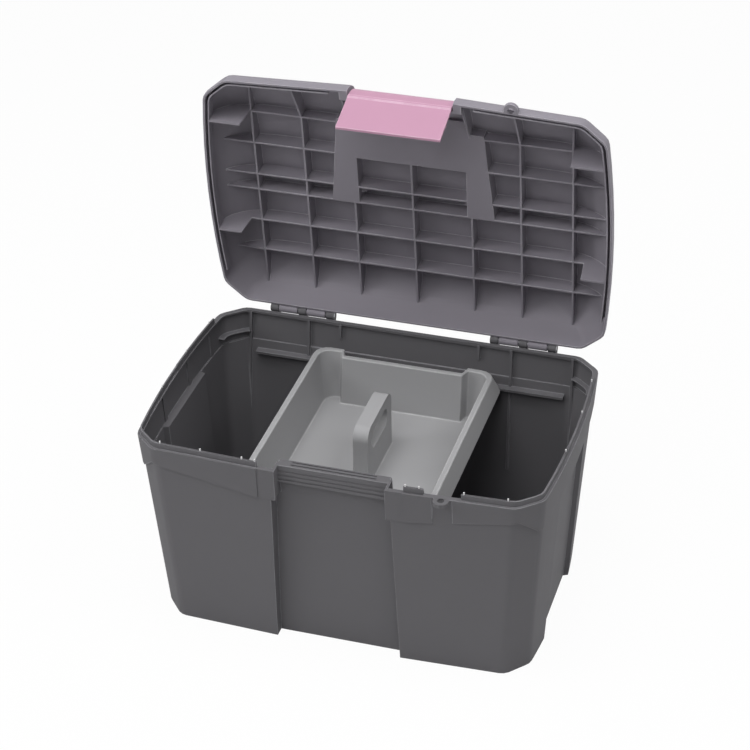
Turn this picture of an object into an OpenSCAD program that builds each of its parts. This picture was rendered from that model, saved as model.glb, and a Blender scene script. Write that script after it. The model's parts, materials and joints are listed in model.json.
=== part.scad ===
// Grooming box: a tapered tub with a hinged, ribbed lid, a wrap-over front latch,
// a folding carry handle and a lift-out tray that stands on ledges in the tub.
// Millimetres, +Z up, +Y to the back, origin under the middle of the tub.
// The lid stands open on its stop and the tray is seated.

/* [Tub] */
// Width between the rim's corners, without the bowed sides
rim_w = 388; // [360:2:420]
// Depth over the rim
rim_d = 262; // [250:2:290]
// How far the short sides bow out
side_bow = 6; // [3:0.5:8]
// Height of the tub to its rim
tub_h = 204; // [190:2:230]
// Wall thickness of the tub
wall = 2.6; // [2.2:0.1:3.2]
// Floor thickness
floor_t = 3; // [2.4:0.2:4]
// Lean of each short side, rim to foot
side_lean = 15.5; // [10:0.5:22]
// Lean of front and back, rim to foot
front_lean = 20; // [12:0.5:26]
// Corner chamfer along the width
chamfer_x = 22; // [16:1:28]
// Corner chamfer along the depth
chamfer_y = 20; // [14:1:26]
// Height of the band under the rim
band_h = 34; // [26:1:44]
// Height of the raised tongue on the rim
tongue_h = 6; // [4:0.5:8]

/* [Front recess] */
// Half width of the recess at the rim
recess_top = 52; // [51:0.5:58]
// Half width of the recess at the foot
recess_foot = 59.5; // [54:0.5:64]
// Half width of the recess under the band
recess_mid = 56.5; // [53:0.5:60]
// Depth of the recess
recess_d = 11.5; // [10:0.5:14]
// Height of the catch strip
strip_h = 18.5; // [15:0.5:22]

/* [Ledges] */
// Depth of the tray ledges below the rim
ledge_drop = 41; // [38:1:50]
// How far the ledges stand in
ledge_in = 7; // [6:0.5:10]

/* [Lid] */
// Height of the lid over the rim
lid_h = 44.5; // [43:0.5:50]
// Height of the lid's upright skirt
lid_skirt = 6; // [5:0.5:8]
// How far in the lid's front edge curves
front_run = 91; // [84:1:98]
// How far in the lid's back edge curves
back_run = 38; // [30:1:46]
// How far in the lid's side edges curve
side_run = 55; // [44:1:66]
// Wall thickness of the lid
lid_wall = 2.1; // [2:0.1:2.6]
// Height of the rib edges above the rim
rib_plane = 25.5; // [24.5:0.5:27]
// Thickness of the ribs
rib_t = 1.8; // [1.4:0.1:2.4]
// Angle of the open lid from closed
lid_open = 82; // [70:1:86]

/* [Hinges] */
// Distance of each hinge in from the rim's corner
hinge_in = 80.5; // [70:0.5:100]
// Diameter of the hinge pins
pin_d = 4; // [3.4:0.2:4.6]
// Distance of the hinge axis behind the rim
hinge_back = 4.7; // [4.7:0.1:7]
// Height of the hinge axis above the rim
hinge_up = 2.1; // [1.8:0.1:3]

/* [Latch] */
// Width of the latch
latch_w = 99; // [88:1:100]
// Length of the flap below the rim
flap_l = 41; // [36:1:50]
// How far the flap leans in
flap_in = 9; // [6:0.5:10]
// Thickness of the latch
latch_t = 2.8; // [2.4:0.1:3]
// How far the resting latch stands out of its catch
latch_ajar = 1.5; // [1.5:0.5:4]

/* [Carry handle] */
// Thickness of the handle
handle_t = 11; // [9:0.5:11.5]
// Width of the grip
grip_w = 26; // [20:1:27]
// Diameter of the handle's trunnions
trunnion_d = 6; // [5:0.5:7]

/* [Tray] */
// Width of the tray over its lip
tray_w = 196; // [180:2:216]
// Clearance between the tray's ends and the tub's walls
tray_gap = 1.9; // [1.4:0.1:4]
// Height of the tray's sloping lip
lip_h = 19.5; // [14:0.5:24]
// Height of the tray from its feet to its edge
tray_h = 64; // [50:1:80]
// Wall thickness of the tray
tray_wall = 2.4; // [2:0.1:3]
// Height of the tray's grip above its edge
tray_grip_up = 12.5; // [8:0.5:18]

/* [Hidden] */

shell_col = "#626164";
lid_col = "#67646a";
tray_col = "#989898";
latch_col = "#d9a5c1";
handle_col = "#67646a";
pin_col = "#9a9aa0";

// Shared clearances, overruns and step counts
over = 1;
gap = 0.5;
rim_gap = 0.4;
fit = 0.05;
quarter = 90;
bow_steps = 8;
dome_steps = 8;
corner_steps = 4;
round_fn = 48;
// Share by which a chamfer shrinks when its outline is inset
inset_share = 0.586;

// Tub details
band_out = 1.5;
band_step = 0.8;
pillar_y = 50;
pillar_steps = 3;
side_recess = 0.5;
side_step = 2.5;
band_end_out = 17;
tongue_gap = 0.45;
tongue_t = 1.6;
mouth_step = 1.2;
tongue_end = 39;
pip_r = 0.8;
pip_up = 2;
pip_off = 0.25;
pip_front_shares = [0.365, 0.43, 0.64, 0.845];
pip_side_shares = [-0.3, 0.2, 0.62];
eye_off = 52.7;
eye_out = 5.2;
eye_r = 7;
eye_bore_r = 3.2;
eye_t = 4;
eye_room = 18.5;
eye_gap = 34;
strip_top_d = 10.4;
strip_gap = 0.6;
strip_groove = 0.9;
strip_groove_h = 1.6;
strip_groove_shares = [0.28, 0.52, 0.76];
scoop_l = 82;
scoop_w = 6;
scoop_d = 1;
ledge_t = 3;
ledge_x0 = 61;
ledge_end = 36;
shelf_drop = 21;
shelf_y = 98;
shelf_in = 10.5;
shelf_t = 1.6;
pad_w = 6;
pad_in = 1.4;
wall_rib_t = 2.5;
wall_rib_in = 2.2;
wall_rib_shares = [0.536, 0.851];
wall_rib_foot = 70;
stub_share = 0.366;
stub_h = 16;
corner_soft = 5;

// Lid details
lip_t = 1.3;
lip_low = 1.2;
lip_rise = 10.6;
lip_web = 2;
lip_end = 35;
rib_x_shares = [0.55, 0.809];
rib_y_shares = [0.0702, 0.3511, 0.6298];
plate_low = 3;
gusset_flats = [34, 24];
gusset_run = 2.5;
gusset_up = 0.8;
u_rear_x = 81;
u_front_x = 72;
u_in_x = 53.8;
u_bar = 43;
latch_sink = 3.5;
latch_side_gap = 0.8;
latch_axis_in = 38;
barrel_r = 4.2;
barrel_room = 1.4;
boss_w = 8;

// Hinge details
knuckle_r = 4.2;
knuckle_tub = 8;
knuckle_lid = 19;
knuckle_pitch = 29;
bracket_drop = 26;
bracket_foot = 1.5;
heel_out = 7.3;
stop_gap = 0.3;

// Latch details
crease_h = 2.4;
crease_out = 0.8;
hook_in = 1.0;
hook_flat = 1.6;
hook_ramp = 6;
hook_gap = 0.7;
arc_steps = 14;
pin_short = 2;

// Handle details
handle_gap = 1.2;
trunnion_in = 6;
grip_gap = 2.2;

// Tray details
tray_lip_slope = 7;
tray_top_in = 10;
tray_draft = 8;
tray_corner_r = 14;
tray_notch_side = 0.9;
tray_notch_front = 2.3;
tray_notch_slant = 3.5;
tray_leg = 11.5;
tray_grip_l = 78;
tray_grip_t = 14.5;
tray_grip_r = 13;
slot_l = 52;
slot_h = 20;
slot_drop = 10;

// Derived places
rim_hw = rim_w / 2;
rim_hd = rim_d / 2;
hinge_y = rim_hd + hinge_back;
hinge_z = tub_h + hinge_up;
pin_r = pin_d / 2;
ledge_z = tub_h - ledge_drop;
front_slope = front_lean / tub_h;
side_slope = side_lean / tub_h;
tray_top = ledge_z + lip_h;
tray_foot = tray_top - tray_h;
tray_floor = tray_foot + tray_leg;
tongue_in = lid_wall + tongue_gap;
pip_in = tongue_in + tongue_t / 2 + pip_off;
mouth_in = tongue_in + tongue_t + mouth_step;
lip_in = tongue_in + tongue_t + tongue_gap;
flap_slope = flap_in / flap_l;
strip_back = latch_t + flap_slope * strip_h + strip_gap;
band_z = tub_h - band_h;
ledge_wall = rim_hd - band_out - wall - front_slope * ledge_drop;
tray_l = 2 * (ledge_wall - tray_gap);
tray_notch_half = recess_foot + (recess_mid - recess_foot) * ledge_z / band_z + wall + tray_notch_side;
tray_notch_d = tray_l / 2 - (rim_hd - front_slope * ledge_drop - recess_d - wall - tray_notch_front);
hinge_x = rim_hw - hinge_in;
eye_x = recess_top + eye_off;
band_end_x = recess_top + band_end_out;
latch_axis_y = rim_hd - latch_axis_in;
lid_rise = lid_h - lid_skirt;
latch_top_z = lid_skirt + lid_rise * sqrt(1 - pow(1 - latch_axis_in / front_run, 2));
latch_axis_z = latch_top_z - barrel_r;
u_front_y = latch_axis_y - barrel_r - barrel_room - lid_wall / 2;
u_in_y = u_front_y - u_bar;
rib_xs = [latch_w / 2 + latch_side_gap + boss_w, rim_hw * rib_x_shares[0], rim_hw * rib_x_shares[1]];
rib_ys = rim_hd * rib_y_shares;
gusset_ys = [-rib_ys[2], rib_ys[1]];
pocket_z = rib_plane + lid_wall;
pivot_z = (lid_h + pocket_z) / 2;
cluster_l = 2 * knuckle_pitch + knuckle_tub;
eye_y = -rim_hd - eye_out;

// Closed solid through a list of [outline, height] layers. An outline is a chain
// of points and its mirror image run back, so its caps close in strips.
module loft(layers) {
    n = len(layers[0][0]);
    m = len(layers);
    points = [for (l = layers) for (p = l[0]) [p[0], p[1], l[1]]];
    low = [for (i = [0 : n / 2 - 2]) [i, i + 1, n - 2 - i, n - 1 - i]];
    top = [for (i = [0 : n / 2 - 2]) let (b = (m - 1) * n) [b + n - 1 - i, b + n - 2 - i, b + i + 1, b + i]];
    sides = [for (k = [0 : m - 2]) for (i = [0 : n - 1])
        let (a = k * n + i, b = k * n + (i + 1) % n)
        each [[a, a + n, b + n], [a, b + n, b]]];
    polyhedron(points, concat(low, top, sides));
}

// Box given by two corners
module block(low, high) {
    translate(low) cube(high - low);
}

// Prism along X from a profile drawn in Y and Z, centred on x
module along_x(x, length) {
    translate([x - length / 2, 0, 0])
        rotate([quarter, 0, quarter])
            linear_extrude(length) children();
}

// Cylinder along X, centred on x
module rod_x(x, y, z, length, r) {
    translate([x - length / 2, y, z])
        rotate([0, quarter, 0]) cylinder(h = length, r = r, $fn = round_fn);
}

module both_sides() {
    children();
    mirror([1, 0, 0]) children();
}

// Carries a solid drawn on the closed rim to the open pose
module opened() {
    translate([0, hinge_y, hinge_z])
        rotate([-lid_open, 0, 0])
            translate([0, -hinge_y, -hinge_up]) children();
}

// Mirror images of a chain, run back: left to right, and front to back
function sideways(chain) = let (n = len(chain) - 1) [for (k = [0 : n]) [-chain[n - k][0], chain[n - k][1]]];
function rearwards(chain) = let (n = len(chain) - 1) [for (k = [0 : n]) [chain[n - k][0], -chain[n - k][1]]];

// Chain with its corners at the listed places drawn as short curves
function softened(chain, places) =
    let (n = len(chain) - 1)
    [for (i = [0 : n])
        let (p = chain[i], a = i == 0 ? [-p[0], p[1]] : chain[i - 1],
             b = i == n ? [-p[0], p[1]] : chain[i + 1],
             pa = p + corner_soft * (a - p) / norm(a - p), pb = p + corner_soft * (b - p) / norm(b - p))
        each (len(search(i, places)) > 0 ? [pa, (pa + 2 * p + pb) / 4, pb] : [p])];

// Bowed right side from front to back
function bowed(hw, y0, y1) = [for (k = [0 : bow_steps])
    let (s = 2 * k / bow_steps - 1)
    [hw + side_bow * (1 - s * s), y0 + (y1 - y0) * k / bow_steps]];

// Bow of the rim's short sides at y
function bow_at(y) = side_bow * (1 - pow(y / (rim_hd - chamfer_y), 2));

// Chamfered outline with bowed short sides from its half width, front and back
function bowed_outline(hw, front, back, inset) =
    let (cx = chamfer_x - inset_share * inset, cy = chamfer_y - inset_share * inset,
         chain = concat([[hw - cx, -front]], bowed(hw, -front + cy, back - cy), [[hw - cx, back]]),
         right = softened(chain, [0, 1, bow_steps + 1, bow_steps + 2]))
    concat(right, sideways(right));

// Rim outline, inset, at a drop below the rim
function rim_outline(inset, drop = 0) =
    let (hd = rim_hd - inset - front_slope * drop)
    bowed_outline(rim_hw - inset - side_slope * drop, hd, hd, inset);

// Tub wall outline with bowed corner pillars, inset, at a drop below the rim
function wall_outline(inset, drop) =
    let (hw = rim_hw - band_out - inset - side_slope * drop,
         hd = rim_hd - band_out - inset - front_slope * drop,
         cx = chamfer_x - inset_share * inset,
         span = hd - chamfer_y + inset_share * inset,
         py = pillar_y + inset_share * inset,
         pillar = [for (k = [0 : pillar_steps])
             let (y = span + (py - span) * k / pillar_steps)
             [hw + side_bow * (1 - pow(y / span, 2)), -y]],
         front = concat([[hw - cx, -hd]], pillar, [[hw - side_recess, side_step - py]]),
         chain = concat(front, rearwards(front)),
         right = softened(chain, [0, 1, len(chain) - 2, len(chain) - 1]))
    concat(right, sideways(right));

module tub_solid(inset, z0, z1) {
    loft([[wall_outline(inset, tub_h - z0), z0], [wall_outline(inset, tub_h - z1), z1]]);
}

module band_solid(inset, z0, z1) {
    loft([[rim_outline(inset, tub_h - z0), z0], [rim_outline(inset, tub_h - z1), z1]]);
}

// Front recess, grown by the wall where the hollow steps round it
module front_recess(grow, z0, z1) {
    mid = band_z + grow;
    function half_at(z) = recess_foot + (recess_mid - recess_foot) * z / mid + grow;
    function plane_at(z) = -rim_hd + front_slope * (tub_h - z) + recess_d + grow;
    function corners(half, z) = [[-half, -rim_d], [half, -rim_d], [half, plane_at(z)], [-half, plane_at(z)]];
    loft([[corners(half_at(z0), z0), z0], [corners(half_at(mid), mid), mid]]);
    loft([[corners(recess_top + grow, mid - over), mid - over], [corners(recess_top + grow, z1), z1]]);
}

// Room for the padlock eye in the band under the rim
module eye_break(grow) {
    block([eye_x - eye_room / 2 - grow, -rim_d, 0],
          [eye_x + eye_room / 2 + grow, -rim_hd + recess_d, tub_h - wall]);
}

// Places where the band under the rim is broken
module band_breaks(grow) {
    block([-band_end_x - grow, -rim_d, 0], [band_end_x + grow, -rim_hd + recess_d, tub_h + 2 * over]);
    eye_break(grow);
}

module tub_hollow() {
    difference() {
        union() {
            tub_solid(wall, floor_t, tub_h - wall);
            difference() {
                band_solid(wall, band_z + wall, tub_h - wall);
                band_breaks(wall);
            }
            translate([0, 0, tub_h - wall - over])
                linear_extrude(wall + 2 * over) polygon(rim_outline(mouth_in));
        }
        front_recess(wall, -over, tub_h + 2 * over);
    }
}

// Raised tongue on the rim that the lid's groove drops over
module tongue() {
    top = tongue_h + 2 * over;
    difference() {
        translate([0, 0, -over]) linear_extrude(tongue_h + over) polygon(rim_outline(tongue_in));
        translate([0, 0, -2 * over]) linear_extrude(tongue_h + 4 * over)
            polygon(rim_outline(tongue_in + tongue_t));
        block([-rim_w, rim_hd - tongue_end, -2 * over], [rim_w, rim_d, top]);
        block([-band_end_x, -rim_d, -2 * over], [band_end_x, 0, top]);
        block([eye_x - eye_gap / 2, -rim_d, -2 * over], [eye_x + eye_gap / 2, 0, top]);
    }
}

module pip() {
    translate([0, 0, -over]) cylinder(h = tongue_h + pip_up + over, r = pip_r, $fn = round_fn);
}

module pips() {
    for (s = [-1, 1]) {
        for (share = pip_front_shares) translate([s * rim_hw * share, -rim_hd + pip_in, 0]) pip();
        for (y = rim_hd * pip_side_shares) translate([s * (rim_hw - pip_in + bow_at(y)), y, 0]) pip();
    }
}

// Strip across the top of the recess that the latch hooks under
module catch_strip() {
    y0 = -rim_hd + strip_back;
    difference() {
        block([-recess_top - over, y0, tub_h - strip_h], [recess_top + over, y0 + strip_top_d, tub_h]);
        block([-recess_top - 2 * over, y0 + wall, tub_h - strip_h - over],
              [recess_top + 2 * over, y0 + strip_top_d + over, tub_h - wall - scoop_d]);
        for (share = strip_groove_shares)
            block([-rim_w, y0 - over, tub_h - strip_h * share - strip_groove_h],
                  [rim_w, y0 + strip_groove, tub_h - strip_h * share]);
        translate([0, y0 + strip_top_d / 2, tub_h - scoop_d]) {
            for (s = [-1, 1]) translate([s * (scoop_l - scoop_w) / 2, 0, 0])
                cylinder(h = scoop_d + over, d = scoop_w, $fn = round_fn);
            block([-(scoop_l - scoop_w) / 2, -scoop_w / 2, 0],
                  [(scoop_l - scoop_w) / 2, scoop_w / 2, scoop_d + over]);
        }
    }
}

// Rounded padlock ear at the front, its bore left to the caller
module eye_ear(z0, inner) {
    translate([eye_x, eye_y, z0]) cylinder(h = eye_t, r = eye_r, $fn = round_fn);
    block([eye_x - eye_r, eye_y, z0], [eye_x + eye_r, -rim_hd + inner, z0 + eye_t]);
}

module eye_bore(z0) {
    translate([eye_x, eye_y, z0 - over]) cylinder(h = eye_t + 2 * over, r = eye_bore_r, $fn = round_fn);
}

// Footprint of one upright rib on the back wall at height z
function wall_rib(x, z) =
    let (y = rim_hd - band_out - wall - front_slope * (tub_h - z) - wall_rib_in)
    [[x - wall_rib_t / 2, y], [x + wall_rib_t / 2, y],
     [x + wall_rib_t / 2, rim_hd], [x - wall_rib_t / 2, rim_hd]];

module upright(x, z0) {
    loft([[wall_rib(x, z0), z0], [wall_rib(x, tub_h), tub_h]]);
}

// Footprint of one upright pad under a side pip at height z
function side_pad(y, z) =
    let (x = rim_hw + bow_at(y) - side_slope * (tub_h - z) - wall - pad_in)
    [[x, y - pad_w / 2], [rim_w, y - pad_w / 2], [rim_w, y + pad_w / 2], [x, y + pad_w / 2]];

// Ledges for the tray, corner shelves and upright ribs, kept inside the walls
module tub_inside() {
    y_in = ledge_wall - ledge_in;
    ledge_x1 = rim_hw - ledge_end;
    shelf_z = tub_h - shelf_drop;
    intersection() {
        union() {
            tub_solid(wall / 2, floor_t, tub_h - wall / 2);
            band_solid(wall / 2, band_z + wall / 2, tub_h - wall / 2);
        }
        union() {
            both_sides() {
                block([ledge_x0, y_in, ledge_z - ledge_t], [ledge_x1, rim_hd, ledge_z]);
                block([ledge_x0, -rim_hd, ledge_z - ledge_t], [ledge_x1, -y_in, ledge_z]);
                for (share = wall_rib_shares)
                    upright(rim_hw * share, wall_rib_foot);
                upright(rim_hw * stub_share, tub_h - stub_h);
                for (y = rim_hd * pip_side_shares)
                    loft([[side_pad(y, band_z), band_z], [side_pad(y, tub_h), tub_h]]);
                difference() {
                    block([rim_hw * wall_rib_shares[1], shelf_y, shelf_z - shelf_t],
                          [rim_w, rim_hd, shelf_z]);
                    translate([0, 0, shelf_z - shelf_t - over])
                        linear_extrude(shelf_t + 2 * over) polygon(rim_outline(shelf_in));
                }
            }
        }
    }
}

// Height of the open lid's back wall over the hinge axis, dy behind it
function stop_at(dy) = hinge_back * sin(lid_open) + (dy + hinge_back * cos(lid_open)) / tan(lid_open);

// Tub knuckle with its bracket and the heel that stops the open lid
module tub_knuckle_profile() {
    heel_y = hinge_y + heel_out;
    root_y = rim_hd - front_slope * bracket_drop - wall;
    translate([hinge_y, hinge_z]) circle(r = knuckle_r, $fn = round_fn);
    polygon([[root_y, tub_h - bracket_drop], [root_y + wall + bracket_foot, tub_h - bracket_drop],
             [heel_y, hinge_z - knuckle_r], [heel_y, hinge_z + stop_at(heel_out) - stop_gap],
             [hinge_y + knuckle_r, hinge_z + stop_at(knuckle_r) - stop_gap], [hinge_y, hinge_z],
             [hinge_y - knuckle_r / 2, hinge_z - knuckle_r], [root_y, hinge_z - knuckle_r]]);
}

module lid_knuckle_profile() {
    translate([hinge_y, hinge_up]) circle(r = knuckle_r, $fn = round_fn);
    polygon([[rim_hd - lid_wall / 2, hinge_up], [hinge_y, hinge_up],
             [hinge_y, hinge_up + knuckle_r], [rim_hd - lid_wall / 2, hinge_up + knuckle_r]]);
}

module base_tub() {
    color(shell_col)
    difference() {
        union() {
            difference() {
                union() {
                    tub_solid(0, 0, tub_h);
                    difference() {
                        band_solid(0, band_z, tub_h);
                        band_breaks(0);
                    }
                    difference() {
                        band_solid(band_step, band_z, tub_h);
                        eye_break(0);
                    }
                    for (s = [-1, 1]) for (k = [-1, 0, 1])
                        along_x(s * hinge_x + k * knuckle_pitch, knuckle_tub) tub_knuckle_profile();
                }
                tub_hollow();
                front_recess(0, -over, tub_h + over);
            }
            translate([0, 0, tub_h]) tongue();
            translate([0, 0, tub_h]) pips();
            eye_ear(tub_h - eye_t, tongue_in);
            catch_strip();
            tub_inside();
        }
        eye_bore(tub_h - eye_t);
        for (s = [-1, 1]) rod_x(s * hinge_x, hinge_y, hinge_z, cluster_l + 2 * over, pin_r + fit);
    }
}

// How far an edge of the lid has curved in at height z, of the run it makes in all
function fold(z, run, inset) =
    let (h = max(0, z - lid_skirt) / (lid_rise - inset))
    run - (run - inset) * sqrt(max(0, 1 - h * h));

function lid_outline(inset, z) = bowed_outline(rim_hw - fold(z, side_run, inset),
    rim_hd - fold(z, front_run, inset), rim_hd - fold(z, back_run, inset), inset);

// Lid's rounded form, inset for its hollow, from z0 above the rim
module dome(inset, z0) {
    loft(concat([[lid_outline(inset, 0), z0]],
        [for (k = [0 : dome_steps])
            let (z = lid_skirt + (lid_rise - inset) * sin(quarter * k / dome_steps))
            [lid_outline(inset, z), z]]));
}

// U-shaped plan of the handle's pocket, inset by its wall or clearance
function u_outline(inset, in_y = u_in_y) = [
    [-u_rear_x + inset, rib_ys[0] - inset], [-u_front_x + inset, -u_front_y + inset],
    [u_front_x - inset, -u_front_y + inset], [u_rear_x - inset, rib_ys[0] - inset],
    [u_in_x + inset, rib_ys[0] - inset], [u_in_x + inset, -in_y - inset],
    [-u_in_x - inset, -in_y - inset], [-u_in_x - inset, rib_ys[0] - inset]];

module lid_ribs() {
    for (x = concat([0], rib_xs, -rib_xs))
        block([x - rib_t / 2, -rim_hd, rib_plane], [x + rib_t / 2, rim_hd, lid_h]);
    for (y = concat(rib_ys, -rib_ys))
        block([-rim_w, y - rib_t / 2, rib_plane], [rim_w, y + rib_t / 2, lid_h]);
}

// Sloping plates at the front wall and tall ones at the side walls, cut back for the tongue
module lid_plates() {
    difference() {
        union() {
            for (s = [-1, 1]) for (k = [0, 1])
                along_x(s * rib_xs[k], rib_t)
                    polygon([[-rim_hd, plate_low], [-rim_hd + lip_in, plate_low], [-rib_ys[2], rib_plane],
                             [-rib_ys[2], lid_h], [-rim_hd, lid_h]]);
            both_sides() for (k = [0, 1])
                translate([0, gusset_ys[k] + rib_t / 2, 0]) rotate([quarter, 0, 0]) linear_extrude(rib_t)
                    polygon([[rib_xs[2], lid_h], [rib_xs[2], rib_plane],
                             [rim_hw - gusset_flats[k] - gusset_run, rib_plane],
                             [rim_hw - gusset_flats[k], gusset_up], [rim_w, gusset_up], [rim_w, lid_h]]);
        }
        difference() {
            block([-rim_w, -rim_d, 0], [rim_w, rim_d, lip_rise + lip_web / 2]);
            translate([0, 0, -over]) linear_extrude(lid_h) polygon(rim_outline(lip_in + lip_t / 2));
        }
    }
}

// Blocks that carry the latch pin and back the latch's pocket
module latch_backing() {
    w = latch_w / 2 + latch_side_gap + boss_w;
    reach = barrel_r + barrel_room + lid_wall;
    low = min(rib_plane, latch_axis_z - reach);
    block([-w, -latch_axis_y - reach, low], [w, -latch_axis_y + reach, lid_h]);
    difference() {
        block([-w, -rim_d, rim_gap], [w, -latch_axis_y, lid_h]);
        dome(latch_sink + lid_wall, -over);
    }
}

module latch_pocket() {
    w = latch_w / 2 + latch_side_gap;
    reach = barrel_r + barrel_room;
    difference() {
        block([-w, -rim_d, -over], [w, -latch_axis_y, lid_h + over]);
        dome(latch_sink, -2 * over);
    }
    block([-w, -latch_axis_y - reach, latch_axis_z - reach], [w, -latch_axis_y + reach, lid_h + over]);
}

// Inner lip that makes a groove for the tub's tongue
module lid_lip() {
    top = lip_rise + lip_web;
    difference() {
        translate([0, 0, lip_low]) linear_extrude(top - lip_low) polygon(rim_outline(lid_wall / 2));
        linear_extrude(top + over) polygon(rim_outline(lip_in + lip_t));
        difference() {
            linear_extrude(lip_rise) polygon(rim_outline(0));
            translate([0, 0, -over]) linear_extrude(top) polygon(rim_outline(lip_in));
        }
        block([-rim_w, rim_hd - lip_end, 0], [rim_w, rim_d, lid_h]);
        block([-band_end_x, -rim_d, 0], [band_end_x, 0, lid_h]);
    }
}

module lid_shell() {
    color(lid_col) opened()
    difference() {
        union() {
            difference() {
                dome(0, rim_gap);
                dome(lid_wall, -over);
            }
            intersection() {
                dome(lid_wall / 2, rim_gap);
                union() {
                    lid_ribs();
                    lid_plates();
                    translate([0, 0, rib_plane]) linear_extrude(lid_h - rib_plane) polygon(u_outline(0));
                    latch_backing();
                    lid_lip();
                }
            }
            eye_ear(rim_gap, lid_wall / 2);
            for (s = [-1, 1]) for (k = [-1, 1])
                along_x(s * hinge_x + k * knuckle_pitch / 2, knuckle_lid) lid_knuckle_profile();
        }
        translate([0, 0, pocket_z]) linear_extrude(lid_h) polygon(u_outline(lid_wall));
        latch_pocket();
        rod_x(0, -latch_axis_y, latch_axis_z, latch_w + 2 * boss_w, pin_r + fit);
        for (s = [-1, 1])
            rod_x(s * (u_in_x + lid_wall / 2), 0, pivot_z, lid_wall + 2 * over, trunnion_d / 2 + fit);
        for (s = [-1, 1])
            rod_x(s * hinge_x, hinge_y, hinge_up, cluster_l, pin_r + fit);
        eye_bore(rim_gap);
    }
}

// Points of the lid's front curve in the latch's profile, from angle a0 to a1
function curve(inset, a0, a1) = [for (k = [0 : arc_steps])
    let (a = a0 + (a1 - a0) * k / arc_steps)
    [front_run - rim_hd - (front_run - inset) * cos(a), lid_skirt + (lid_rise - inset) * sin(a)]];

// Latch profile in Y and Z, from its barrel over the lid's edge to the flap's end
module latch_profile() {
    y0 = -rim_hd;
    a0 = asin((latch_top_z - lid_skirt) / lid_rise);
    hook_z = -strip_h - hook_gap;
    function face(z) = y0 - flap_slope * z;
    polygon(concat(
        curve(0, a0, 0),
        [[y0, crease_h / 2], [y0 - crease_out, 0], [face(-crease_h) - crease_out, -crease_h],
         [face(-crease_h - crease_out), -crease_h - crease_out],
         [face(-flap_l), -flap_l], [face(-flap_l) + latch_t, -flap_l],
         [face(hook_z - hook_ramp) + latch_t, hook_z - hook_ramp],
         [y0 + strip_back + hook_in, hook_z - hook_flat], [y0 + strip_back + hook_in, hook_z],
         [face(hook_z) + latch_t, hook_z], [y0 + latch_t, 0]],
        curve(latch_t, 0, a0)));
    translate([-latch_axis_y, latch_axis_z]) circle(r = barrel_r, $fn = round_fn);
}

module front_latch() {
    color(latch_col) opened()
    translate([0, -latch_axis_y, latch_axis_z]) rotate([-latch_ajar, 0, 0])
    translate([0, latch_axis_y, -latch_axis_z])
    difference() {
        along_x(0, latch_w) latch_profile();
        rod_x(0, -latch_axis_y, latch_axis_z, latch_w + 2 * over, pin_r + fit);
    }
}

// U-shaped handle lying in the lid's pocket, with inward trunnions
module carry_handle() {
    inset = lid_wall + handle_gap;
    arm_in = u_in_x + inset;
    arm_w = u_rear_x - inset - arm_in - handle_gap;
    in_y = u_in_y + lid_wall + grip_gap;
    stub = lid_wall + handle_gap + trunnion_in;
    color(handle_col) opened() {
        translate([0, 0, pivot_z - handle_t / 2]) linear_extrude(handle_t)
            intersection() {
                polygon(u_outline(inset, in_y - inset));
                translate([-rim_hw, -in_y - grip_w]) square([rim_w, in_y + grip_w]);
            }
        for (s = [-1, 1]) {
            rod_x(s * (arm_in + arm_w / 2), 0, pivot_z, arm_w, handle_t / 2);
            rod_x(s * (arm_in + over - stub / 2), 0, pivot_z, stub, trunnion_d / 2);
        }
    }
}

// Round corner of an outline, a quarter turn from angle a0
function corner(x, y, r, a0) = [for (k = [0 : corner_steps])
    let (a = a0 + quarter * k / corner_steps) [x + r * cos(a), y + r * sin(a)]];

// Tray outline with round corners and a notch in each short side
function tray_outline(side_in, inset) =
    let (w = tray_w / 2 - side_in - inset, l = tray_l / 2 - side_in - inset,
         r = tray_corner_r - inset, nh = tray_notch_half + inset_share * inset,
         ns = nh + tray_notch_slant, nl = l - tray_notch_d,
         front = concat(corner(r - w, r - l, r, 2 * quarter), [[-ns, -l], [-nh, -nl], [nh, -nl], [ns, -l]],
                        corner(w - r, r - l, r, -quarter)))
    concat(front, rearwards(front));

// How far the tray's wall stands inside its lip's edge at height z
function tray_in(z) = tray_top_in + tray_draft * (tray_top - z) / tray_h;

function lip_side_in(z) = tray_lip_slope * (z - ledge_z) / lip_h;

module tray_lip() {
    z1 = tray_top - tray_wall;
    difference() {
        loft([[tray_outline(0, 0), ledge_z], [tray_outline(tray_lip_slope, 0), tray_top]]);
        loft([[tray_outline(lip_side_in(ledge_z - over), tray_wall), ledge_z - over],
              [tray_outline(lip_side_in(z1), tray_wall), z1]]);
    }
}

// Upright grip across the tray's middle, its finger slot left to the caller
module tray_grip_plate() {
    r = tray_grip_r;
    top = tray_top + tray_grip_up;
    for (s = [-1, 1]) translate([s * (tray_grip_l / 2 - r), top - r]) circle(r = r, $fn = round_fn);
    translate([-tray_grip_l / 2, tray_floor + tray_wall / 2])
        square([tray_grip_l, top - r - tray_floor - tray_wall / 2]);
    translate([-tray_grip_l / 2 + r, tray_floor + tray_wall / 2])
        square([tray_grip_l - 2 * r, top - tray_floor - tray_wall / 2]);
}

module tray_slot() {
    r = slot_h / 2;
    z = tray_top + tray_grip_up - slot_drop - r;
    for (s = [-1, 1]) rod_x(0, s * (slot_l / 2 - r), z, tray_grip_t + 2 * over, r);
    block([-tray_grip_t / 2 - over, -slot_l / 2 + r, z - r],
          [tray_grip_t / 2 + over, slot_l / 2 - r, z + r]);
}

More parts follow.
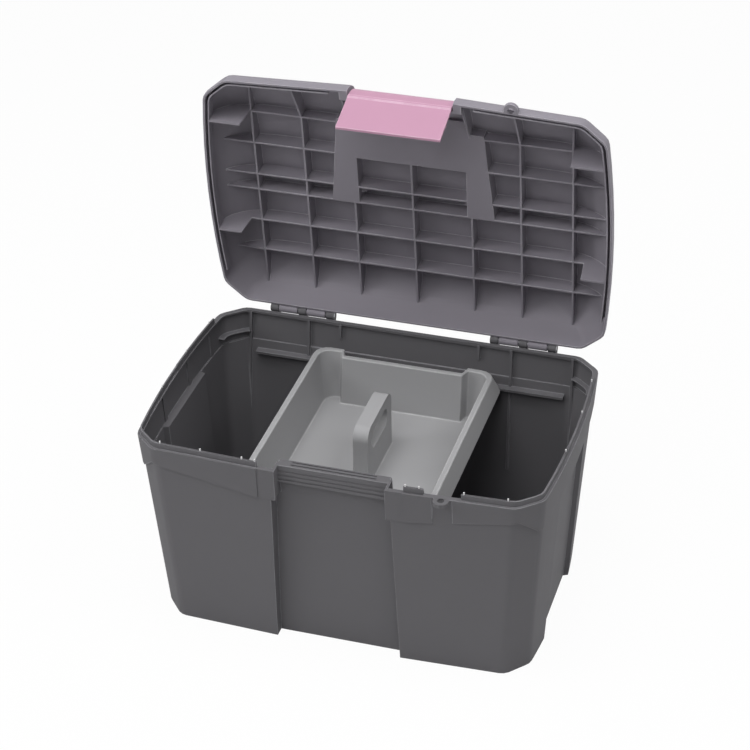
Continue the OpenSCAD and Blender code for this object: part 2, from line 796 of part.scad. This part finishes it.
module lift_out_tray() {
    floor_top = tray_floor + tray_wall;
    well_top = tray_top + tray_grip_up - slot_drop - slot_h - tray_wall;
    arch = tray_notch_half - over;
    color(tray_col)
    difference() {
        union() {
            difference() {
                union() {
                    loft([[tray_outline(tray_in(tray_foot), 0), tray_foot],
                          [tray_outline(tray_in(tray_top), 0), tray_top - tray_wall / 2]]);
                    tray_lip();
                }
                loft([[tray_outline(tray_in(floor_top), tray_wall), floor_top],
                      [tray_outline(tray_in(tray_top + over), tray_wall), tray_top + over]]);
                loft([[tray_outline(tray_in(tray_foot - over), tray_wall), tray_foot - over],
                      [tray_outline(tray_in(tray_floor), tray_wall), tray_floor]]);
                block([-arch, -tray_l, tray_foot - over], [arch, tray_l, tray_floor]);
            }
            along_x(0, tray_grip_t) tray_grip_plate();
        }
        tray_slot();
        block([-tray_grip_t / 2 + tray_wall, -tray_grip_l / 2 + tray_wall, tray_floor - over],
              [tray_grip_t / 2 - tray_wall, tray_grip_l / 2 - tray_wall, well_top]);
    }
}

module hinge_pin_left() {
    color(pin_col) rod_x(-hinge_x, hinge_y, hinge_z, cluster_l, pin_r);
}

module hinge_pin_right() {
    color(pin_col) rod_x(hinge_x, hinge_y, hinge_z, cluster_l, pin_r);
}

module latch_pin() {
    color(pin_col) opened() rod_x(0, -latch_axis_y, latch_axis_z, latch_w + 2 * boss_w - pin_short, pin_r);
}

base_tub();
lid_shell();
lift_out_tray();
front_latch();
carry_handle();
hinge_pin_left();
hinge_pin_right();
latch_pin();
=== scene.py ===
import bpy
import bmesh
import json
import math
from mathutils import Matrix, Vector


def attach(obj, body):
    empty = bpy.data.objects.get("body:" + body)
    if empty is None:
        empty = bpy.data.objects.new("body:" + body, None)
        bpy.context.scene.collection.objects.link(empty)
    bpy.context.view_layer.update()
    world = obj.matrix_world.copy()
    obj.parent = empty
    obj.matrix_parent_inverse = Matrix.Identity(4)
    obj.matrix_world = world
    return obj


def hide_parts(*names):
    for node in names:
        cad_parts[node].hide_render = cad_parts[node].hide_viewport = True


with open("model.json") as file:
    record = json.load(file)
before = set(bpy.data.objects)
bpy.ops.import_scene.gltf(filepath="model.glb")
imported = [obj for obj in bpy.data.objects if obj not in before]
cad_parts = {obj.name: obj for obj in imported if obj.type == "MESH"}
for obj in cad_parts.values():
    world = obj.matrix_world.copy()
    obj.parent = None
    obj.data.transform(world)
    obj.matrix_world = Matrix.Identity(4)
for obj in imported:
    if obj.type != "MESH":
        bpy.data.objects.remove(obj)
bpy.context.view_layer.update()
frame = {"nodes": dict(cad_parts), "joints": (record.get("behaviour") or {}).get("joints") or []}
nodes = frame["nodes"]
mmPerMetre = 1000
plainWhite = "#ffffff"
print("frame loaded:", sorted(nodes))


# colours are written as they look, in sRGB, and turned to linear here
def hexColour(text):
    channels = [int(text[i:i + 2], 16) / 255 for i in (1, 3, 5)]
    return [c / 12.92 if c <= 0.04045 else ((c + 0.055) / 1.055) ** 2.4 for c in channels] + [1.0]


# one node with its settings and links; a socket goes by its name, or by its number where names repeat
def addNode(tree, kind, settings=None, links=None):
    node = tree.nodes.new(kind)
    for key, value in (settings or {}).items():
        if isinstance(key, int) or key in node.inputs.keys():
            node.inputs[key].default_value = value
        else:
            setattr(node, key, value)
    for key, source in (links or {}).items():
        tree.links.new(source, node.inputs[key])
    return node


def newMaterial(name):
    material = bpy.data.materials.new(name)
    material.use_nodes = True
    material.node_tree.nodes.clear()
    return material, material.node_tree


# Injection-moulded polypropylene. The eye gets a satin skin: faint flow clouds from the melt, a
# spark-eroded grain, a painted highlight in pale patches along the rounded edges, and a painted
# white glint on the tops of small tips. Real grain is some tenths of a millimetre, so it is drawn coarser, to
# show.
# The specular level is low because the surround is mirrored as full white.
polypropylene = {"surface": {"IOR": 1.49, "Specular IOR Level": 0.12}, "grainDepth": 0.0002,
                 "cloud": {"Detail": 4.0, "Roughness": 0.55},
                 "grain": {"Detail": 2.0, "Roughness": 0.6},
                 "scuff": {"Detail": 5.0, "Roughness": 0.7},
                 "highlightPatches": {"From Min": 0.30, "From Max": 0.62, "To Min": 0.25, "To Max": 1.0},
                 "shine": {"From Min": 0.3, "From Max": 0.7}}


def mouldedPolypropylene(name, look):
    material, tree = newMaterial(name)
    place = addNode(tree, "ShaderNodeTexCoord").outputs["Object"]
    flow = addNode(tree, "ShaderNodeMapping", {"Scale": (1.0, 1.0, look["flowStretch"])}, {"Vector": place})
    noise = {}
    for pattern, space in (("cloud", flow.outputs["Vector"]), ("grain", place), ("scuff", place)):
        settings = dict(polypropylene[pattern], Scale=mmPerMetre / look[pattern + "Mm"])
        noise[pattern] = addNode(tree, "ShaderNodeTexNoise", settings, {"Vector": space}).outputs["Fac"]
    skin = addNode(tree, "ShaderNodeMix",
                   {"data_type": "RGBA", "A": hexColour(look["dark"]), "B": hexColour(look["light"])},
                   {"Factor": noise["cloud"]})
    # painted highlight: the narrow faces of the rounds take the pale edge colour, in patches of the scuff
    # noise
    edge = addNode(tree, "ShaderNodeAttribute", {"attribute_name": "paintedEdgeHighlight"})
    highlightPatches = addNode(tree, "ShaderNodeMapRange", polypropylene["highlightPatches"], {"Value": noise["scuff"]})
    edgeHighlightShare = addNode(tree, "ShaderNodeMath", {"operation": "MULTIPLY"},
                   {0: edge.outputs["Fac"], 1: highlightPatches.outputs["Result"]})
    skin = addNode(tree, "ShaderNodeMix", {"data_type": "RGBA", "B": hexColour(look["edge"])},
                   {"Factor": edgeHighlightShare.outputs[0], "A": skin.outputs["Result"]})
    # painted glint: faces whose centre stands above a height are painted near white
    if "glintColour" in look:
        glintMask = addNode(tree, "ShaderNodeAttribute", {"attribute_name": "paintedGlint"})
        skin = addNode(tree, "ShaderNodeMix", {"data_type": "RGBA", "B": hexColour(look["glintColour"])},
                       {"Factor": glintMask.outputs["Fac"], "A": skin.outputs["Result"]})
    smoothest, roughest = look["rough"]
    shine = addNode(tree, "ShaderNodeMapRange",
                    {**polypropylene["shine"], "To Min": smoothest, "To Max": roughest},
                    {"Value": noise["scuff"]})
    bump = addNode(tree, "ShaderNodeBump",
                   {"Strength": look["bump"], "Distance": polypropylene["grainDepth"]},
                   {"Height": noise["grain"]})
    shader = addNode(tree, "ShaderNodeBsdfPrincipled", polypropylene["surface"],
                     {"Base Color": skin.outputs["Result"], "Roughness": shine.outputs["Result"],
                      "Normal": bump.outputs["Normal"]})
    addNode(tree, "ShaderNodeOutputMaterial", None, {"Surface": shader.outputs["BSDF"]})
    return material


# how a copy of a CAD solid is cleaned before it is shaped, and how evenly its faces are shaded after
cleaning = {"mergeMm": 0.01, "sweeps": 3, "flatAngle": 0.3, "shadeWeight": 80}


# Edges between two faces of one flat that join into a convex face, each face used once.
def joinableEdges(mesh, tolerance):
    used = set()
    picked = []
    for edge in mesh.edges:
        faces = edge.link_faces
        if len(faces) != 2 or used.intersection(faces):
            continue
        if faces[0].normal.angle(faces[1].normal, math.pi) > tolerance:
            continue
        turns = [sum(loop.calc_angle() for face in faces for loop in face.loops if loop.vert == vert)
                 for vert in edge.verts]
        if max(turns) < math.pi + tolerance:
            used.update(faces)
            picked.append(edge)
    return picked


# Joins the loose triangles of flat faces, so that a rounded edge runs on past old seams.
def joinFlats(piece):
    edges = True
    while edges:
        bpy.ops.mesh.select_all(action="DESELECT")
        mesh = bmesh.from_edit_mesh(piece.data)
        mesh.normal_update()
        edges = joinableEdges(mesh, math.radians(cleaning["flatAngle"]))
        for edge in edges:
            edge.select = True
        bmesh.update_edit_mesh(piece.data)
        if edges:
            bpy.ops.mesh.dissolve_edges(use_verts=False)
    bpy.ops.mesh.select_mode(type="VERT")
    bpy.ops.mesh.select_all(action="DESELECT")
    mesh = bmesh.from_edit_mesh(piece.data)
    for vert in mesh.verts:
        vert.select = len(vert.link_edges) == 2
    bmesh.update_edit_mesh(piece.data)
    bpy.ops.mesh.dissolve_verts()
    bpy.ops.mesh.select_mode(type="EDGE")


# A copy of a CAD solid, merged and open in edit mode with nothing selected.
def copySolid(shape):
    piece = bpy.data.objects.new(shape["name"], nodes[shape["node"]].data.copy())
    bpy.context.collection.objects.link(piece)
    bpy.ops.object.select_all(action="DESELECT")
    piece.select_set(True)
    bpy.context.view_layer.objects.active = piece
    bpy.ops.mesh.customdata_custom_splitnormals_clear()
    bpy.ops.object.mode_set(mode="EDIT")
    bpy.ops.mesh.select_mode(type="EDGE")
    bpy.ops.mesh.select_all(action="SELECT")
    bpy.ops.mesh.remove_doubles(threshold=cleaning["mergeMm"] / mmPerMetre)
    for sweep in range(cleaning["sweeps"]):
        bpy.ops.mesh.select_all(action="SELECT")
        bpy.ops.mesh.dissolve_degenerate(threshold=cleaning["mergeMm"] / mmPerMetre)
    joinFlats(piece)
    bpy.ops.mesh.select_all(action="DESELECT")
    return piece


# Reshapes the copy where it differs from the solid, then rounds its sharp edges as a mould leaves
# them. Only edges with room for the round are taken, so that no small face is turned over.
def roundEdges(piece, shape):
    mesh = bmesh.from_edit_mesh(piece.data)
    if "reshape" in shape:
        for vert in mesh.verts:
            vert.co = shape["reshape"](vert.co)
    room = shape["roomMm"] / mmPerMetre
    taken = 0
    for edge in mesh.edges:
        if len(edge.link_faces) == 2 and edge.calc_face_angle() > math.radians(shape["edgeAngle"]):
            beside = [e for v in edge.verts for e in v.link_edges]
            edge.select = min(e.calc_length() for e in beside) > room
            taken += edge.select
    mesh.select_flush_mode()
    bmesh.update_edit_mesh(piece.data)
    bpy.ops.mesh.bevel(offset=shape["roundMm"] / mmPerMetre, segments=shape["steps"], affect="EDGES",
                       clamp_overlap=False)
    return taken


# Marks the narrow faces of the rounds for a painted highlight, and what stands above a height for a painted
# white glint.
def markPaintedLight(piece, shape):
    mesh = bmesh.from_edit_mesh(piece.data)
    edgeHighlightLayer = mesh.faces.layers.float.new("paintedEdgeHighlight")
    for face in mesh.faces:
        width = face.calc_area() / max(edge.calc_length() for edge in face.edges)
        face[edgeHighlightLayer] = 1.0 if face.select and width < shape["highlightMm"] / mmPerMetre else 0.0
    if "glintAbove" in shape:
        paintedGlint = mesh.faces.layers.float.new("paintedGlint")
        for face in mesh.faces:
            face[paintedGlint] = 1.0 if face.calc_center_median().z > shape["glintAbove"] else 0.0
    bmesh.update_edit_mesh(piece.data)


# One moulding of the box: it stands for its CAD solid and moves with that solid's body.
def mouldedPiece(shape):
    piece = copySolid(shape)
    taken = roundEdges(piece, shape)
    markPaintedLight(piece, shape)
    bpy.ops.object.mode_set(mode="OBJECT")
    bpy.ops.object.shade_smooth_by_angle(angle=math.radians(shape["smoothAngle"]))
    weighted = piece.modifiers.new("evenShade", "WEIGHTED_NORMAL")
    weighted.keep_sharp = True
    weighted.weight = cleaning["shadeWeight"]
    bpy.ops.object.modifier_apply(modifier=weighted.name)
    piece.data.materials.clear()
    piece.data.materials.append(mouldedPolypropylene(shape["finish"], shape))
    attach(piece, shape["body"])
    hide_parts(shape["node"])
    print(shape["name"], "rounded edges:", taken, "faces:", len(piece.data.polygons))


# Front of tub and lid, in metres on the closed box. It swells from its corners to the latch, the
# sunk panel comes forward towards its foot, the band's lower edge climbs to the corners, and the
# catch strip's grooves are shallow.
front = {"rimY": -0.131, "rimZ": 0.204, "lean": 20 / 204, "near": 0.0001,  # wall: 20 mm of lean in 204
         "cornerX": 0.172, "swell": 0.0072, "wall": 0.008,  # the swell, and how deep it reaches
         "recessX": 0.0535, "recessWall": 0.004, "grooveY": -0.12264, "grooveFill": 0.0005,  # recess
         "eyeX": 0.1047, "eyeHalf": 0.0072, "eyeThick": 0.0045,  # padlock eye
         "bandZ": 0.170, "bandX": 0.069, "bandRise": 0.016, "bandWall": 0.0016,  # band under the rim
         "roundX": 0.160, "roundY": -0.120, "sideLean": 0.0759,  # front corners of the band
         "sunkX": 0.0625, "sunkFrom": 0.009, "sunkTo": 0.0145, "sunkOut": 0.0045, "sunkTop": 0.165,  # panel
         "footTop": 0.199, "footWide": 0.0196, "footAhead": 0.0035, "footFull": -0.100,  # foot
         "footX": 0.145, "footY": -0.100, "footZ": 0.004, "footCorner": 0.0025,  # front corners of the foot
         "lidSkirt": 0.006, "lidRise": 0.0385, "lidRun": 0.091, "pocketX": 0.0584, "pocketIn": 0.0029,
         "fadeFrom": -0.126, "fadeTo": -0.095}  # the lid's swell fades out here


def swellAt(x):
    return front["swell"] * max(0, 1 - abs(x) / front["cornerX"])


# the padlock eye keeps its place, so that the two eyes still meet
def onEye(x, y):
    return abs(x - front["eyeX"]) < front["eyeHalf"] and y < front["rimY"] - front["near"]


# The foot stands a little wider and further forward than the tub's even taper leaves it.
def widenFoot(x, y, z):
    low = 1 - min(1, z / front["footTop"])
    if z < front["footZ"] and abs(x) > front["footX"] and y < front["footY"]:
        x += math.copysign(front["footCorner"], x)
    ahead = min(1, max(0, y / front["footFull"]))
    return Vector((x * (1 + front["footWide"] * low), y - front["footAhead"] * low * ahead, z))


def shapeTub(place):
    x, y, z = place
    depth = y - front["rimY"] - front["lean"] * (front["rimZ"] - z)  # behind the leaning front wall
    if abs(x) < front["recessX"] and abs(y - front["grooveY"]) < front["near"]:
        return Vector((x, y - front["grooveFill"], z))
    if abs(x) < front["sunkX"] and front["sunkFrom"] < depth < front["sunkTo"]:
        return widenFoot(x, y - front["sunkOut"] * max(0, 1 - z / front["sunkTop"]), z)
    onCorner = abs(x) > front["roundX"] and y < front["roundY"]
    onBand = front["bandX"] < abs(x) and (depth < front["bandWall"] or onCorner)
    if onBand and abs(z - front["bandZ"]) < front["near"]:
        climb = front["bandRise"] * min(1, (abs(x) - front["bandX"]) / (front["cornerX"] - front["bandX"]))
        x += math.copysign(front["sideLean"] * climb, x) if onCorner else 0
        y -= front["lean"] * climb
        z += climb
    held = depth > front["wall"] or (abs(x) < front["recessX"] and depth > front["recessWall"])
    if not held and not (onEye(x, y) and z > front["rimZ"] - front["eyeThick"]):
        y -= swellAt(x)
    return widenFoot(x, y, z)


# the lid stands open at rest, and is shaped as if shut
lidHinge = next(joint for joint in frame["joints"] if joint["name"] == "lid_hinge")
lidTurn = Matrix.Rotation(math.radians(lidHinge["range_deg"][1]), 4, "X")
lidShut = Matrix.Translation(lidHinge["pos_m"]) @ lidTurn @ Matrix.Translation(-Vector(lidHinge["pos_m"]))
lidOpen = lidShut.inverted()


def shapeLid(place):
    x, y, z = lidShut @ place
    height = z - front["rimZ"]
    rise = min(1, max(0, height - front["lidSkirt"]) / front["lidRise"])
    inset = y - front["rimY"] - front["lidRun"] * (1 - math.sqrt(1 - rise * rise))  # behind the curved front
    held = abs(x) < front["pocketX"] and inset > front["pocketIn"]
    if not held and not (onEye(x, y) and height < front["eyeThick"]):
        fade = (front["fadeTo"] - y) / (front["fadeTo"] - front["fadeFrom"])
        y -= swellAt(x) * min(1, max(0, fade))
    return lidOpen @ Vector((x, y, z))


# in each look, edge is the colour of the painted highlight along the rounds
# tub: the darkest and dullest of the greys, with a painted white glint on the tops of the pips of its rim
tub = {"name": "tubShell", "node": "base_tub", "body": "tub", "slot": "tub_plastic",
       "reshape": shapeTub, "edgeAngle": 28, "roomMm": 1.3, "roundMm": 0.55, "steps": 2, "smoothAngle": 36,
       "highlightMm": 0.8, "glintAbove": 0.2103, "finish": "darkGreyPolypropylene",
       "dark": "#68676a", "light": "#6a696c", "edge": "#858488", "glintColour": "#d9d9da",
       "cloudMm": 160, "flowStretch": 0.5, "grainMm": 1.3, "scuffMm": 14,
       "rough": (0.62, 0.66), "bump": 0.07}
mouldedPiece(tub)

# lid: a touch warmer and smoother than the tub
lid = {"name": "lidShell", "node": "lid_shell", "body": "lid", "slot": "lid_plastic",
       "reshape": shapeLid, "edgeAngle": 32, "roomMm": 0.9, "roundMm": 0.4, "steps": 2, "smoothAngle": 34,
       "highlightMm": 0.9, "finish": "warmGreyPolypropylene",
       "dark": "#8d8991", "light": "#8f8b93", "edge": "#b6b3ba",
       "cloudMm": 140, "flowStretch": 1.0, "grainMm": 1.3, "scuffMm": 16,
       "rough": (0.54, 0.58), "bump": 0.05}
mouldedPiece(lid)

# tray: paler grey, softly rounded lip
tray = {"name": "trayTub", "node": "lift_out_tray", "body": "tray", "slot": "tray_plastic",
        "edgeAngle": 30, "roomMm": 2.3, "roundMm": 1.15, "steps": 4, "smoothAngle": 40,
        "highlightMm": 0.5, "finish": "midGreyPolypropylene",
        "dark": "#a2a2a4", "light": "#a5a5a6", "edge": "#b8b8b9",
        "cloudMm": 150, "flowStretch": 1.0, "grainMm": 1.3, "scuffMm": 18,
        "rough": (0.44, 0.48), "bump": 0.05}
mouldedPiece(tray)

# latch: pink, the glossiest moulding
latch = {"name": "latchFlap", "node": "front_latch", "body": "latch", "slot": "latch_plastic",
         "edgeAngle": 35, "roomMm": 0.7, "roundMm": 0.6, "steps": 3, "smoothAngle": 30,
         "highlightMm": 0.8, "finish": "pinkPolypropylene",
         "dark": "#bd91a8", "light": "#bf93aa", "edge": "#d0adc0",
         "cloudMm": 120, "flowStretch": 1.0, "grainMm": 1.1, "scuffMm": 14,
         "rough": (0.36, 0.40), "bump": 0.04}
mouldedPiece(latch)

# carry handle: same grey as the lid, generously rounded for the hand
handle = {"name": "carryHandle", "node": "carry_handle", "body": "handle", "slot": "handle_plastic",
          "edgeAngle": 35, "roomMm": 2.5, "roundMm": 2.2, "steps": 4, "smoothAngle": 40,
          "highlightMm": 1.4, "finish": "handleGreyPolypropylene",
          "dark": "#8d8991", "light": "#8f8b93", "edge": "#b6b3ba",
          "cloudMm": 140, "flowStretch": 1.0, "grainMm": 1.3, "scuffMm": 10,
          "rough": (0.54, 0.58), "bump": 0.08}
mouldedPiece(handle)

# pins: their CAD solids are right as they are and only get their steel
pins = {"nodes": ("hinge_pin_left", "hinge_pin_right", "latch_pin"), "finish": "drawnSteelWire",
        "dark": "#8c8c92", "light": "#a6a6ab", "lineMm": 0.5, "lineLengthMm": 14, "lineDetail": 3.0,
        "rough": (0.28, 0.42), "bump": 0.15, "lineDepth": 0.0001}


# Drawn steel wire. The eye gets a dull metal with lines along its length (X) from the die. Real
# lines are hundredths of a millimetre apart, so they are drawn coarser, to show.
def drawnSteel(name, look):
    material, tree = newMaterial(name)
    place = addNode(tree, "ShaderNodeTexCoord").outputs["Object"]
    along, across = mmPerMetre / look["lineLengthMm"], mmPerMetre / look["lineMm"]
    drawn = addNode(tree, "ShaderNodeMapping", {"Scale": (along, across, across)}, {"Vector": place})
    lines = addNode(tree, "ShaderNodeTexNoise", {"Scale": 1.0, "Detail": look["lineDetail"]},
                    {"Vector": drawn.outputs["Vector"]}).outputs["Fac"]
    tint = addNode(tree, "ShaderNodeMix",
                   {"data_type": "RGBA", "A": hexColour(look["dark"]), "B": hexColour(look["light"])},
                   {"Factor": lines})
    smoothest, roughest = look["rough"]
    shine = addNode(tree, "ShaderNodeMapRange", {"To Min": smoothest, "To Max": roughest}, {"Value": lines})
    bump = addNode(tree, "ShaderNodeBump", {"Strength": look["bump"], "Distance": look["lineDepth"]},
                   {"Height": lines})
    shader = addNode(tree, "ShaderNodeBsdfPrincipled", {"Metallic": 1.0},
                     {"Base Color": tint.outputs["Result"], "Roughness": shine.outputs["Result"],
                      "Normal": bump.outputs["Normal"]})
    addNode(tree, "ShaderNodeOutputMaterial", None, {"Surface": shader.outputs["BSDF"]})
    return material


pinSteel = drawnSteel(pins["finish"], pins)
for pinName in pins["nodes"]:
    nodes[pinName].data.materials.clear()
    nodes[pinName].data.materials.append(pinSteel)
print("pins finished")

# camera fitted to the photograph: degrees, metres and pixels
cameraFit = {"azimuth": 17.25, "elevation": 32.75, "roll": -0.76, "distance": 2.1334,
             "target": (0.00662, -0.01082, 0.2414), "focalPixels": 2295.7, "framePixels": 750, "sensorMm": 36}


def addCamera(fit):
    azimuth, elevation, roll = (math.radians(fit[angle]) for angle in ("azimuth", "elevation", "roll"))
    level = math.cos(elevation)
    back = Vector((math.sin(azimuth) * level, -math.cos(azimuth) * level, math.sin(elevation)))
    across = Vector((0, 0, 1)).cross(back).normalized()
    up = back.cross(across)
    rolled = math.cos(roll) * across + math.sin(roll) * up
    turn = Matrix((rolled, back.cross(rolled), back)).transposed().to_4x4()
    bpy.ops.object.camera_add()
    camera = bpy.context.object
    camera.matrix_world = Matrix.Translation(Vector(fit["target"]) + back * fit["distance"]) @ turn
    camera.data.sensor_width = fit["sensorMm"]
    camera.data.lens = fit["sensorMm"] * fit["focalPixels"] / fit["framePixels"]
    bpy.context.scene.camera = camera


addCamera(cameraFit)
print("camera placed")

# studio: a pale floor, a white surround and four soft lamps, most of the light from above
# each lamp has its name, place, size in metres and power in watts
studio = {"floor": "#f2f2f2", "floorGlow": 0.96, "floorSize": 14, "floorZ": -0.0005,
          "worldStrength": 0.12, "whiteStrength": 1.0, "aim": (0, 0, 0.2),
          "lamps": [("leftSoft", (-1.75, -1.0, 1.35), 0.9, 12),
                    ("topFrontSoft", (-0.1, -1.5, 2.0), 1.2, 12),
                    ("topRightSoft", (1.3, 0.1, 1.9), 1.2, 14),
                    ("topSoft", (-0.2, -0.3, 2.3), 1.3, 25)]}


# share of the rays that see the plain white: straight, mirrored and through glass
def whiteRays(tree):
    path = addNode(tree, "ShaderNodeLightPath")
    straight = addNode(tree, "ShaderNodeMath", {"operation": "MAXIMUM"},
                       {0: path.outputs["Is Camera Ray"], 1: path.outputs["Is Glossy Ray"]})
    seen = addNode(tree, "ShaderNodeMath", {"operation": "MAXIMUM"},
                   {0: straight.outputs[0], 1: path.outputs["Is Transmission Ray"]})
    return seen.outputs[0]


# the surround lights the object softly and is seen as plain white
def addSurround(look):
    world = bpy.data.worlds.new("studioWorld")
    bpy.context.scene.world = world
    world.use_nodes = True
    tree = world.node_tree
    tree.nodes.clear()
    white = hexColour(plainWhite)
    soft = addNode(tree, "ShaderNodeBackground", {"Color": white, "Strength": look["worldStrength"]})
    seen = addNode(tree, "ShaderNodeBackground", {"Color": white, "Strength": look["whiteStrength"]})
    mix = addNode(tree, "ShaderNodeMixShader", None,
                  {"Fac": whiteRays(tree), 1: soft.outputs[0], 2: seen.outputs[0]})
    addNode(tree, "ShaderNodeOutputWorld", None, {"Surface": mix.outputs[0]})


def addLamps(look):
    for name, place, size, power in look["lamps"]:
        bpy.ops.object.light_add(type="AREA", location=place)
        lamp = bpy.context.object
        lamp.name = name
        lamp.data.size = size
        lamp.data.energy = power
        lamp.rotation_euler = (Vector(look["aim"]) - Vector(place)).to_track_quat("-Z", "Y").to_euler()


# matt paper floor: mostly seen as plain white, with enough paper left to keep the soft shadow
def addFloor(look):
    bpy.ops.mesh.primitive_plane_add(size=look["floorSize"], location=(0, 0, look["floorZ"]))
    floor = bpy.context.object
    floor.name = "studioFloor"
    material, tree = newMaterial("paleFloor")
    paper = addNode(tree, "ShaderNodeBsdfDiffuse", {"Color": hexColour(look["floor"])})
    glow = addNode(tree, "ShaderNodeEmission",
                   {"Color": hexColour(plainWhite), "Strength": look["whiteStrength"]})
    share = addNode(tree, "ShaderNodeMath", {"operation": "MULTIPLY", 1: look["floorGlow"]},
                    {0: whiteRays(tree)})
    mix = addNode(tree, "ShaderNodeMixShader", None,
                  {"Fac": share.outputs[0], 1: paper.outputs[0], 2: glow.outputs[0]})
    addNode(tree, "ShaderNodeOutputMaterial", None, {"Surface": mix.outputs[0]})
    floor.data.materials.append(material)


addSurround(studio)
addLamps(studio)
addFloor(studio)
bpy.context.scene.view_settings.view_transform = "Standard"
print("studio lit")
